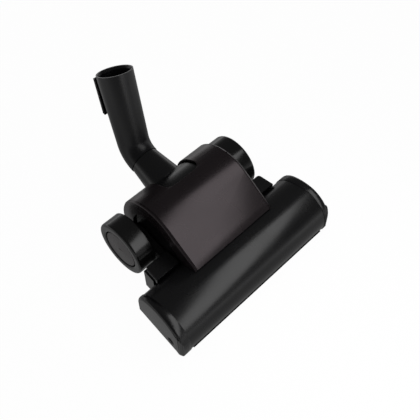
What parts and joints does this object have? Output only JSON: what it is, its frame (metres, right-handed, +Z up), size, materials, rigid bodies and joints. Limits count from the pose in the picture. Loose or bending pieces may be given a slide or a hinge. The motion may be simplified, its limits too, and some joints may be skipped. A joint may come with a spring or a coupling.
{
  "type": "vacuum turbo brush",
  "caption": "Air driven floor brush head for a vacuum cleaner, with large rear wheels, a turbine drum and a tilting neck with a swivelling elbow",
  "frame": {"origin": "on the floor, midway along the head's width and along the whole length from the nose to the elbow", "axes": "+X along the brush roll, +Y from the nose towards the wand, +Z up"},
  "size_m": [0.2523, 0.2868, 0.1709],
  "materials": {
    "black_plastic": "smooth moulded black plastic",
    "satin_plastic": "satin black plastic",
    "tyre_rubber": "smooth black soft tyre",
    "soft_strip": "soft black strip",
    "roll_plastic": "dark grey moulded plastic",
    "bristle_nylon": "black nylon bristle",
    "belt_rubber": "black flat belt",
    "steel": "bright steel",
    "bush_brass": "sintered bronze bush",
    "ring_plastic": "pale slippery plastic"
  },
  "bodies": {
    "head": {"brush_hood": "black_plastic", "left_end_cap": "black_plastic", "right_end_cap": "black_plastic", "sole_plate": "black_plastic", "chassis_base": "black_plastic", "left_arm_cover": "black_plastic", "right_arm_cover": "black_plastic", "turbine_housing": "black_plastic", "left_side_plate": "black_plastic", "right_side_plate": "black_plastic", "belt_guard": "black_plastic", "turbine_cover": "satin_plastic", "front_bumper": "soft_strip", "drive_belt": "belt_rubber", "left_axle": "steel", "right_axle": "steel", "left_axle_clip": "steel", "right_axle_clip": "steel", "left_roller_pin": "steel", "right_roller_pin": "steel", "cap_screws": "steel", "sole_screws": "steel", "left_turbine_bearing": "steel", "right_turbine_bearing": "steel", "left_roll_bush": "bush_brass", "right_roll_bush": "bush_brass"},
    "brush_roll": {"brush_core": "roll_plastic", "brush_bristles": "bristle_nylon", "brush_pulley": "roll_plastic", "brush_shaft": "steel"},
    "turbine": {"turbine_wheel": "roll_plastic", "turbine_pulley": "roll_plastic", "turbine_shaft": "steel"},
    "left_wheel": {"left_wheel_hub": "black_plastic", "left_wheel_tyre": "tyre_rubber", "left_hub_cap": "satin_plastic"},
    "right_wheel": {"right_wheel_hub": "black_plastic", "right_wheel_tyre": "tyre_rubber", "right_hub_cap": "satin_plastic"},
    "neck": {"neck_collar": "black_plastic", "swivel_ring": "ring_plastic"},
    "elbow": {"elbow_tube": "black_plastic", "elbow_spigot": "black_plastic"},
    "left_sole_roller": {"left_roller": "black_plastic"},
    "right_sole_roller": {"right_roller": "black_plastic"}
  },
  "joints": [
    {"name": "neck_tilt", "type": "hinge", "parent": "head", "child": "neck", "pos_m": [0.0033, -0.0217, 0.0434], "axis": [1, 0, 0], "range_deg": [-22, 35]},
    {"name": "elbow_swivel", "type": "hinge", "parent": "neck", "child": "elbow", "pos_m": [0.0033, 0.05951, 0.06486], "axis": [0, 0.9668, 0.2554], "continuous": true},
    {"name": "left_wheel_spin", "type": "hinge", "parent": "head", "child": "left_wheel", "pos_m": [0.0033, -0.0022, 0.036], "axis": [1, 0, 0], "continuous": true},
    {"name": "right_wheel_spin", "type": "hinge", "parent": "head", "child": "right_wheel", "pos_m": [0.0033, -0.0022, 0.036], "axis": [1, 0, 0], "continuous": true},
    {"name": "brush_roll_spin", "type": "hinge", "parent": "head", "child": "brush_roll", "pos_m": [0.0033, -0.1094, 0.025], "axis": [1, 0, 0], "continuous": true},
    {"name": "turbine_spin", "type": "hinge", "parent": "head", "child": "turbine", "pos_m": [0.0033, -0.0217, 0.0434], "axis": [1, 0, 0], "continuous": true},
    {"name": "left_roller_spin", "type": "hinge", "parent": "head", "child": "left_sole_roller", "pos_m": [-0.0783, -0.0697, 0.0048], "axis": [1, 0, 0], "continuous": true},
    {"name": "right_roller_spin", "type": "hinge", "parent": "head", "child": "right_sole_roller", "pos_m": [0.0777, -0.0697, 0.0048], "axis": [1, 0, 0], "continuous": true}
  ],
  "couplings": [
    {"joint": "turbine_spin", "follows": "brush_roll_spin", "ratio": 2.5}
  ]
}
